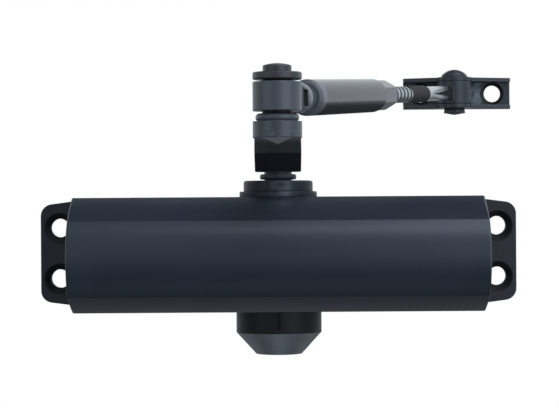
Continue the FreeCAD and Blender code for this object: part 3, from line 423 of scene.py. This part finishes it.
# Forearm line: it ends at the bracket pin, and starts on the axis of the elbow rivet
pivotPoint = Vector(joints["bracket_swing"]["pos_m"])
forearmLine = Vector(joints["rod_reach"]["axis"]).normalized()
forearmLength = (pivotPoint.y - joints["elbow_swing"]["pos_m"][1]) / forearmLine.y
elbowPoint = pivotPoint - forearmLine * forearmLength
forearmSide = forearmLine.cross(Vector((0, 0, 1))).normalized()
forearmTop = forearmSide.cross(forearmLine)


# A place beside the forearm line: how far from the elbow, at what angle round the line, and how far out
def forearmPlace(along, angle, radius):
    out = forearmSide * math.cos(angle) + forearmTop * math.sin(angle)
    return elbowPoint + forearmLine * along + out * radius


# How far behind the elbow a place on the piece lies
def behindElbow(tree):
    return tree.axis("Y") - elbowPoint.y


# How high it lies above the forearm line
def aboveForearm(tree):
    lineHeight = behindElbow(tree) * (forearmLine.z / forearmLine.y) + elbowPoint.z
    return tree.axis("Z") - lineHeight


# What differs from the coat on parts of a painted piece: share, colour, shine and roughness

# Painted shade: the two lugs of the body are darker, and darkest in their countersunk screw seats
lugShade = {
    "start": (0.0739, 0.0741),          # distance from the middle of the body
    "colour": (0.0056, 0.0082, 0.0130),
    "roughness": 0.30,
    "seatAcross": 0.082,
    "seatHeight": 0.0095,
    "seatEdge": (0.0057, 0.0059),
    "seatColour": (0.0010, 0.0012, 0.0016),
    "seatRoughness": 0.75,
}


def shadedLugs(tree):
    across = abs(tree.axis("X"))
    # painted shade on the lugs, near black in the screw seats
    away = tree.reach(across - lugShade["seatAcross"], abs(tree.axis("Z")) - lugShade["seatHeight"])
    seat = 1 - tree.smooth(away, *lugShade["seatEdge"])
    colour = tree.mix(seat, lugShade["colour"], lugShade["seatColour"])
    rough = between(seat, lugShade["roughness"], lugShade["seatRoughness"])
    return tree.smooth(across, *lugShade["start"]), colour, 0.0, rough


# Bare tail of the elbow rivet
rivetBare = {"top": (0.0365, 0.0369), "colour": (0.42, 0.43, 0.44), "shine": 0.8, "roughness": 0.35}


def rivetTail(tree):
    tail = 1 - tree.smooth(tree.axis("Z"), *rivetBare["top"])
    return tail, rivetBare["colour"], rivetBare["shine"], rivetBare["roughness"]


# Painted shade: a dark, dull underside of the arm; and scuffs on the front of its eye
armMarks = {
    "underTop": (0.0364, 0.0368),
    "underColour": (0.010, 0.013, 0.017),
    "eyeFront": (-0.1885, -0.1865),
    "streaks": (500.0, 500.0, 1300.0),
    "scuffRange": (0.50, 0.68),
    "scuffShare": 0.8,
    "scuffColour": (0.100, 0.117, 0.134),
    "roughness": 0.62,
}


def armShadeAndScuffs(tree):
    # painted shade under the arm
    under = 1 - tree.smooth(tree.axis("Z"), *armMarks["underTop"])
    front = 1 - tree.smooth(tree.axis("Y"), *armMarks["eyeFront"])
    streaks = tree.streaks(armMarks["streaks"], detail=4.0, rough=0.65)
    scuffs = tree.smooth(streaks, *armMarks["scuffRange"]) * front * (1 - under)
    colour = tree.mix(under, armMarks["scuffColour"], armMarks["underColour"])
    return under + scuffs * armMarks["scuffShare"], colour, 0.0, armMarks["roughness"]


# Painted shade: dark rims in the bracket's two screw seats; and scuffs on its plate beside the eye
plateMarks = {
    "seats": (0.0538, 0.0808),
    "rimEdge": (0.0045, 0.0048),
    "rimColour": (0.008, 0.009, 0.011),
    "scuffAcross": 0.0744,
    "scuffWidth": 0.0036,               # to each side
    "scuffHeight": (0.00374, 0.00447),  # up and down from the pin's level
    "scuffScale": 330.0,
    "scuffRange": (0.26, 0.62),
    "scuffShare": 0.8,
    "scuffColour": (0.25, 0.30, 0.335),
    "roughness": 0.42,
}


def bracketMarks(tree):
    rise = tree.axis("Z") - pivotPoint.z
    # painted shade in the countersunk screw seats
    rimShade = 0.0
    for across in plateMarks["seats"]:
        away = tree.reach(tree.axis("X") - across, rise)
        rimShade = rimShade + (1 - tree.smooth(away, *plateMarks["rimEdge"]))
    beside = tree.axis("X") - plateMarks["scuffAcross"]
    low, high = plateMarks["scuffHeight"]
    plate = 1 - tree.smooth(beside * beside, 0.0, plateMarks["scuffWidth"] ** 2)
    plate = plate * (1 - tree.smooth(rise * rise, low ** 2, high ** 2))
    scuffs = tree.noise(plateMarks["scuffScale"], detail=5.0, rough=0.65)
    scuffs = tree.smooth(scuffs, *plateMarks["scuffRange"]) * plate
    share = tree.smooth(rimShade + scuffs * plateMarks["scuffShare"], 0.0, 1.0)
    colour = tree.mix(rimShade, plateMarks["scuffColour"], plateMarks["rimColour"])
    return share, colour, 0.0, plateMarks["roughness"]


# Painted light: the bead of the forearm eye, where it meets the tube, is paler, as if lit
beadLight = {"start": (0.0110, 0.0130), "colour": (0.155, 0.167, 0.183), "roughness": 0.30}


def litBead(tree):
    # painted light on the bead
    bead = tree.smooth(behindElbow(tree), *beadLight["start"])
    return bead, beadLight["colour"], 0.0, beadLight["roughness"]


# Painted highlight: a pale, streaked band on the front of the rings, under the arm, for the reflection of
# a front light
ringHighlight = {
    "centre": 0.0008,
    "halfWidth": (0.00141, 0.00490),
    "front": (-0.0345, -0.0335),
    "streaks": (320.0, 320.0, 1300.0),
    "streakRange": (0.28, 0.66),
    "colour": (0.080, 0.094, 0.113),
    "shine": 0.2,
    "roughness": 0.30,
}


def frontHighlight(tree):
    side = tree.axis("X") - ringHighlight["centre"]
    near, far = ringHighlight["halfWidth"]
    front = 1 - tree.smooth(tree.axis("Y"), *ringHighlight["front"])
    band = 1 - tree.smooth(side * side, near ** 2, far ** 2)
    streaks = tree.streaks(ringHighlight["streaks"], detail=4.0, rough=0.6)
    # painted highlight on the front of the rings
    wearAndHighlight = front * band * tree.smooth(streaks, *ringHighlight["streakRange"])
    return wearAndHighlight, ringHighlight["colour"], ringHighlight["shine"], ringHighlight["roughness"]


# Painted light and shade: a paler lip of the forearm tube, for the reflection on its rounded rim, and a
# dark, dull underside, for the shade below it
tubeLightAndShade = {
    "lipEnd": (0.0225, 0.0262),
    "lipColour": (0.105, 0.114, 0.128),
    "lipRoughness": 0.28,
    "underTop": (-0.0018, -0.0015),     # from the forearm line
    "underSlope": 0.012,
    "underColour": (0.0020, 0.0028, 0.0038),
    "underRoughness": 0.60,
}


def tubeLipHighlightAndUnderShade(tree):
    behind = behindElbow(tree)
    # painted highlight on the lip
    lip = 1 - tree.smooth(behind, *tubeLightAndShade["lipEnd"])
    level = aboveForearm(tree) + behind * tubeLightAndShade["underSlope"]
    # painted shade on the underside
    under = (1 - tree.smooth(level, *tubeLightAndShade["underTop"])) * (1 - lip)
    colour = tree.mix(under, tubeLightAndShade["lipColour"], tubeLightAndShade["underColour"])
    rough = between(under, tubeLightAndShade["lipRoughness"], tubeLightAndShade["underRoughness"])
    return lip + under, colour, 0.0, rough


# Plain zinc bar of the rod end; and painted shade, dark and dull, on the neck and crease between it and
# the eye
rodEndMarks = {
    "barStart": (0.0170, 0.0250),       # distances from the bracket pin
    "neckStart": (0.0066, 0.0072),
    "neckEnd": (0.0140, 0.0180),
    "creaseHeight": (0.0017, 0.0020),   # up and down from the forearm line
    "creaseTaper": 0.05,
    "zincColour": (0.54, 0.58, 0.60),
    "zincRoughness": 0.26,
    "oilColour": (0.004, 0.005, 0.006),
    "oilRoughness": 0.92,
}


def plainBar(tree):
    away = tree.reach(tree.axis("X") - pivotPoint.x, tree.axis("Y") - pivotPoint.y)
    bar = tree.smooth(away, *rodEndMarks["barStart"])
    pastEye = tree.smooth(away, *rodEndMarks["neckStart"])
    neck = pastEye * (1 - tree.smooth(away, *rodEndMarks["neckEnd"]))
    offLine = abs(aboveForearm(tree)) + away * rodEndMarks["creaseTaper"]
    crease = pastEye * (1 - tree.smooth(offLine, *rodEndMarks["creaseHeight"]))
    # painted shade in the neck and the crease
    shaded = tree.smooth(neck + crease, 0.0, 1.0)
    colour = tree.mix(shaded, rodEndMarks["zincColour"], rodEndMarks["oilColour"])
    rough = between(shaded, rodEndMarks["zincRoughness"], rodEndMarks["oilRoughness"])
    return tree.smooth(bar + shaded, 0.0, 1.0), colour, 1 - shaded, rough


# Bare steel of the spindle inside the body, between its painted ends
spindleBare = {
    "low": (-0.0195, -0.0190),
    "high": (0.0215, 0.0220),
    "colour": (0.46, 0.47, 0.49),
    "roughness": 0.30,
}


def bareMiddle(tree):
    height = tree.axis("Z")
    inside = tree.smooth(height, *spindleBare["low"]) * (1 - tree.smooth(height, *spindleBare["high"]))
    return inside, spindleBare["colour"], 1.0, spindleBare["roughness"]


# Painted finishes: the coat, and the function for what differs from it
painted = {
    "bodyPaint": ("castPaint", shadedLugs),
    "collarPaint": ("ringPaint", frontHighlight),
    "flangePaint": ("flangePaint", None),
    "spindlePaint": ("ringPaint", bareMiddle),
    "armPaint": ("barPaint", armShadeAndScuffs),
    "forgedPaint": ("forgedPaint", None),
    "blackOxide": ("blackOxide", None),
    "rivetPaint": ("blackOxide", rivetTail),
    "beadPaint": ("forgedPaint", litBead),
    "ferrulePaint": ("ferrulePaint", None),
    "mouthPaint": ("tubePaint", tubeLipHighlightAndUnderShade),
    "nutPaint": ("nutPaint", None),
    "rodEndPaint": ("stampedPaint", plainBar),
    "bracketPaint": ("stampedPaint", bracketMarks),
    "stampedPaint": ("stampedPaint", None),
}
finishes = {
    "capPlastic": mouldedCap("capPlastic"),
    "rubberSeal": rubber("rubberSeal"),
    "zincThread": zincThread("zincThread"),
}
for paintName, (coat, bare) in painted.items():
    finishes[paintName] = paint(paintName, coat, bare)
for metalName in metalFinish:
    finishes[metalName] = metal(metalName)
print("finishes made:", len(finishes))

# Which finish each piece of the frame wears
wears = {
    "bodyPaint": ["body_casting"],
    "collarPaint": ["top_ring", "top_collar"],
    "flangePaint": ["dust_flange"],
    "spindlePaint": ["pinion_spindle"],
    "armPaint": ["main_arm"],
    "forgedPaint": ["elbow_ring"],
    "blackOxide": ["elbow_washer"],
    "rivetPaint": ["elbow_rivet"],
    "beadPaint": ["forearm_eye"],
    "ferrulePaint": ["forearm_ferrule"],
    "mouthPaint": ["forearm_tube"],
    "nutPaint": ["lock_nut"],
    "rodEndPaint": ["rod_end"],
    "bracketPaint": ["frame_bracket"],
    "stampedPaint": ["bracket_pin"],
    "capPlastic": ["spindle_cap", "bottom_collar", "elbow_bush"],
    "zinc": ["arm_screw", "arm_spring_washer", "threaded_rod"],
    "steel": ["piston", "check_retainer", "check_ball", "spring_seat",
              "closing_speed_valve", "latching_speed_valve"],
    "aluminium": ["left_end_plug", "right_end_plug"],
    "bronze": ["upper_bearing", "lower_bearing"],
    "springWire": ["closing_spring"],
    "rubberSeal": ["left_end_plug_seal", "right_end_plug_seal", "upper_shaft_seal", "lower_shaft_seal",
                   "closing_speed_valve_seal", "latching_speed_valve_seal", "rod_sleeve"],
}
for finishName, nodeNames in wears.items():
    for nodeName in nodeNames:
        mesh = frame["nodes"][nodeName].data
        mesh.materials.clear()
        mesh.materials.append(finishes[finishName])
# the body paint shows no clear image of the linkage above it or the cap below it
unmirrored = ["main_arm", "forearm_tube", "lock_nut", "rod_sleeve", "rod_end",
              "spindle_cap", "bottom_collar", "pinion_spindle"]
for nodeName in unmirrored:
    frame["nodes"][nodeName].visible_glossy = False
print("frame dressed")


def addObject(name, data):
    made = bpy.data.objects.new(name, data)
    bpy.context.scene.collection.objects.link(made)
    return made


# Ring of points round the forearm line: radiusAt gives the radius at each angle
def addRing(shape, along, steps, radiusAt):
    angles = [2 * math.pi * step / steps for step in range(steps)]
    return [shape.verts.new(forearmPlace(along, angle, radiusAt(angle))) for angle in angles]


def joinRings(shape, first, second):
    for step in range(len(first)):
        following = (step + 1) % len(first)
        shape.faces.new((first[step], first[following], second[following], second[step]))


# A built shape becomes an object, smooth between edges sharper than that angle in degrees
def addPiece(name, shape, finishName, sharpAngle):
    bmesh.ops.recalc_face_normals(shape, faces=shape.faces)
    for face in shape.faces:
        face.smooth = True
    mesh = bpy.data.meshes.new(name)
    shape.to_mesh(mesh)
    shape.free()
    mesh.set_sharp_from_angle(angle=math.radians(sharpAngle))
    mesh.materials.append(finishes[finishName])
    return addObject(name, mesh)


# Rolled thread of the adjusting rod, as one helix
rodThread = {
    "start": 0.0560,        # distances from the elbow, along the forearm
    "end": 0.1322,
    "tail": 0.1330,
    "crestRadius": 0.00280,
    "rootRadius": 0.00230,
    "coreShare": 0.99,      # radius of the plain core, beside the root's
    "pitch": 0.0040,
    "steps": 28,            # faces round one turn
    "sharpAngle": 40,
    # one turn of the thread: share of the pitch, and share of the thread's depth
    "profile": [(0.0, 0.0), (0.12, 0.0), (0.30, 0.86), (0.37, 1.0), (0.72, 1.0), (0.80, 0.86)],
}


def makeRodThread(size):
    pitch = size["pitch"]
    steps = size["steps"]
    depth = size["crestRadius"] - size["rootRadius"]
    last = (int((size["end"] - size["start"]) / pitch) - 1) * steps
    shape = bmesh.new()
    crest = shape.verts.layers.float.new("crestShare")
    rows = []
    for step in range(last + 1):
        turn = step / steps
        fade = min(1.0, turn, (last - step) / steps)    # the thread runs out over one turn at each end
        row = []
        for share, rise in size["profile"]:
            along = size["start"] + pitch * (turn + share)
            radius = size["rootRadius"] + depth * rise * fade
            vert = shape.verts.new(forearmPlace(along, 2 * math.pi * turn, radius))
            vert[crest] = rise * fade
            row.append(vert)
        rows.append(row)
    for step in range(last):
        first, second = rows[step], rows[step + 1]
        if step + steps < last:
            first = first + [rows[step + steps][0]]
            second = second + [rows[step + steps + 1][0]]
        for index in range(len(first) - 1):
            shape.faces.new((first[index], second[index], second[index + 1], first[index + 1]))
    # the plain core under the thread, closed at both ends
    coreRadius = size["rootRadius"] * size["coreShare"]
    head = addRing(shape, size["start"], steps, lambda angle: coreRadius)
    tail = addRing(shape, size["tail"], steps, lambda angle: coreRadius)
    joinRings(shape, head, tail)
    shape.faces.new(head)
    shape.faces.new(tail)
    return addPiece("adjusting_rod", shape, "zincThread", size["sharpAngle"])


threadPiece = makeRodThread(rodThread)
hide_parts("threaded_rod")
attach(threadPiece, "rod")
threadPiece.visible_glossy = False
print("rod thread made:", len(threadPiece.data.vertices), "points")

# Lock nut of the forearm, turned so that two of its corners stand up and down
nutSize = {
    "length": 0.0150,
    "cornerRadius": 0.0049,
    "boreRadius": 0.00295,
    "chamfer": 0.0006,
    "chamferRows": 3,
    "steps": 72,            # faces round the nut
    "sharpAngle": 25,
}


def makeLockNut(size):
    solid = frame["nodes"]["lock_nut"].data
    start = min((vert.co - elbowPoint).dot(forearmLine) for vert in solid.vertices)
    halfFlat = math.radians(30)         # half the angle that one flat takes up
    flat = size["cornerRadius"] * math.cos(halfFlat)
    shape = bmesh.new()

    # hexagon, cut by the cone of the chamfer: share is 0 at the end face and 1 where the chamfer ends
    def cutHexagon(share):
        cone = between(share, flat, size["cornerRadius"])

        def radiusAt(angle):
            fromFlat = (angle + halfFlat) % (2 * halfFlat) - halfFlat
            return min(flat / math.cos(fromFlat), cone)

        return radiusAt

    shares = [row / size["chamferRows"] for row in range(size["chamferRows"] + 1)]
    levels = [(size["chamfer"] * share, cutHexagon(share)) for share in shares]
    levels += [(size["length"] - along, radiusAt) for along, radiusAt in reversed(levels)]
    levels += [(along, lambda angle: size["boreRadius"]) for along in (size["length"], 0.0)]
    rings = [addRing(shape, start + along, size["steps"], radiusAt) for along, radiusAt in levels]
    for index in range(len(rings)):
        joinRings(shape, rings[index - 1], rings[index])
    return addPiece("turned_nut", shape, "nutPaint", size["sharpAngle"])


nutPiece = makeLockNut(nutSize)
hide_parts("lock_nut")
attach(nutPiece, "lock_nut_body")
nutPiece.visible_glossy = False
print("lock nut made:", len(nutPiece.data.vertices), "points")

# Closing spring: its mesh copied onto an object of its own, fixed to the closer body; its length is not
# changed
coilSize = {"play": 0.0004}     # room left between spring and seat at the end of the travel


def makeCoil(size):
    low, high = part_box("closing_spring")
    travel = joints["piston_slide"]["range_m"][1] + size["play"]
    coil = addObject("closing_coil", frame["nodes"]["closing_spring"].data.copy())
    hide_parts("closing_spring")
    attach(coil, "closer_body")
    keep = 1 - travel / (high[0] - low[0])
    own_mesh(coil)


makeCoil(coilSize)
print("closing spring made")

# Pale floor below the closer, fading out into the white around it
floorSize = {
    "drop": 0.400,                      # below the closer
    "back": -0.25,
    "radius": 0.32,
    "segments": 96,
    "clear": 0.04,                      # it fades out from here to its edge
    "colour": (0.80, 0.80, 0.79),
    "mirrored": (0.46, 0.46, 0.47),     # its colour in mirror images
    "lift": (0.66, 0.63, 0.58),         # added for the camera
    "black": (0.0, 0.0, 0.0),
    "roughness": 0.75,
    "mottleScale": 30.0,
    "mottleRoughness": 0.1,
}


def makeFloor(size):
    mesh = bpy.data.meshes.new("floor")
    shape = bmesh.new()
    bmesh.ops.create_circle(shape, cap_ends=True, segments=size["segments"], radius=size["radius"])
    shape.to_mesh(mesh)
    shape.free()
    floor = addObject("floor", mesh)
    floor.location = (0, size["back"], cadLow.z - size["drop"])
    material, tree = newFinish("paleFloor")
    away = tree.add("ShaderNodeVectorMath", {"operation": "LENGTH"}, {0: tree.place()}, "Value")
    gone = tree.smooth(away, size["clear"], size["radius"])
    mottle = tree.noise(size["mottleScale"], detail=4.0)
    card = tree.principled({
        "Base Color": tree.mix(tree.ray("Is Glossy Ray"), size["colour"], size["mirrored"]),
        "Roughness": size["roughness"] + (mottle - 0.5) * size["mottleRoughness"],
        "Emission Color": tree.mix(tree.ray("Is Camera Ray"), size["black"], size["lift"]),
        "Emission Strength": 1.0})
    empty = tree.add("ShaderNodeBsdfTransparent")
    tree.finish(tree.add("ShaderNodeMixShader", None, {0: gone, 1: card, 2: empty}))
    mesh.materials.append(material)


makeFloor(floorSize)
print("floor laid")

# Room: white to the camera; to polished faces a white card behind, and a room that darkens downwards
room = {
    "low": (0.072, 0.079, 0.088),
    "high": (0.72, 0.80, 0.88),
    "rise": (-1.15, 0.85),
    "wallBack": (0.06, 0.42),
    "white": (1.0, 1.0, 1.0),
    "card": (0.84, 0.89, 0.94),
    "cardSide": (-0.30, 0.30),
    "cardTop": (0.44, 0.70),
    "cardFoot": (-0.18, -0.08),
    "footShare": 0.10,      # brightness of the card below its foot
    "cardEnd": (-0.90, -0.65),
    "leftShare": 0.45,      # brightness of the left of the room, beside the right
    "leftSide": (-0.22, 0.12),
}


def makeRoom(size):
    world = bpy.data.worlds.new("studio")
    bpy.context.scene.world = world
    tree = Tree(world)
    toward = tree.add("ShaderNodeTexCoord", output="Generated")
    side, back, up = [tree.axis(letter, toward) for letter in "XYZ"]
    foot = between(tree.smooth(up, *size["cardFoot"]), size["footShare"], 1.0)
    tall = tree.smooth(up, *size["cardEnd"]) * (1 - tree.smooth(up, *size["cardTop"]))
    card = tree.smooth(back, *size["cardSide"]) * foot * tall
    bright = tree.smooth(up, *size["rise"]) * (1 - tree.smooth(back, *size["wallBack"]))
    right = between(tree.smooth(side, *size["leftSide"]), size["leftShare"], 1.0)
    walls = tree.mix(bright * right, size["low"], size["high"])
    polished = tree.ray("Is Glossy Ray") + tree.ray("Is Transmission Ray")
    colour = tree.mix(polished * card, walls, size["card"])
    colour = tree.mix(tree.ray("Is Camera Ray"), colour, size["white"])
    sky = tree.add("ShaderNodeBackground", None, {"Color": colour, "Strength": 1.0})
    tree.add("ShaderNodeOutputWorld", None, {"Surface": sky})


makeRoom(room)

# Soft boxes: where each stands, what it faces, its two sides and its radiance
softBoxes = {
    "overhead": {
        "at": (0.37, -0.26, 0.70), "to": (0.0, -0.06, 0.0), "sides": (0.80, 0.70), "radiance": 1.5},
    "rightFront": {
        "at": (0.70, -0.95, 0.10), "to": (0.0, -0.12, 0.03), "sides": (0.90, 0.80), "radiance": 1.1},
    "leftFront": {
        "at": (-0.84, -0.90, 0.10), "to": (0.0, -0.12, 0.03), "sides": (0.90, 0.80), "radiance": 0.60},
}
lampTint = (0.90, 0.98, 1.13)


def makeSoftBox(name, size):
    lamp = bpy.data.lights.new(name, "AREA")
    lamp.shape = "RECTANGLE"
    lamp.color = lampTint
    lamp.size, lamp.size_y = size["sides"]
    lamp.energy = size["radiance"] * math.pi * lamp.size * lamp.size_y
    box = addObject(name, lamp)
    box.location = size["at"]
    aim = Vector(size["to"]) - Vector(size["at"])
    box.rotation_euler = aim.to_track_quat("-Z", "Y").to_euler()
    box.visible_camera = False


for boxName, boxSize in softBoxes.items():
    makeSoftBox(boxName, boxSize)
print("studio lit:", len(softBoxes), "soft boxes")

# Camera straight in front of the closer
view = {
    "at": (0.00045, -0.740, 0.0180),
    "focalPixels": 1960.0,
    "imageWidth": 559,
    "sensor": 36.0,
    "roll": 0.37,           # degrees
    "clipStart": 0.01,
}


def makeCamera(size):
    data = bpy.data.cameras.new("front")
    data.sensor_width = size["sensor"]
    data.lens = size["sensor"] * size["focalPixels"] / size["imageWidth"]
    data.clip_start = size["clipStart"]
    camera = addObject("front", data)
    camera.location = size["at"]
    camera.rotation_euler = (math.radians(90), math.radians(size["roll"]), 0)
    bpy.context.scene.camera = camera


makeCamera(view)
bpy.context.scene.view_settings.view_transform = "Standard"
print("camera set")
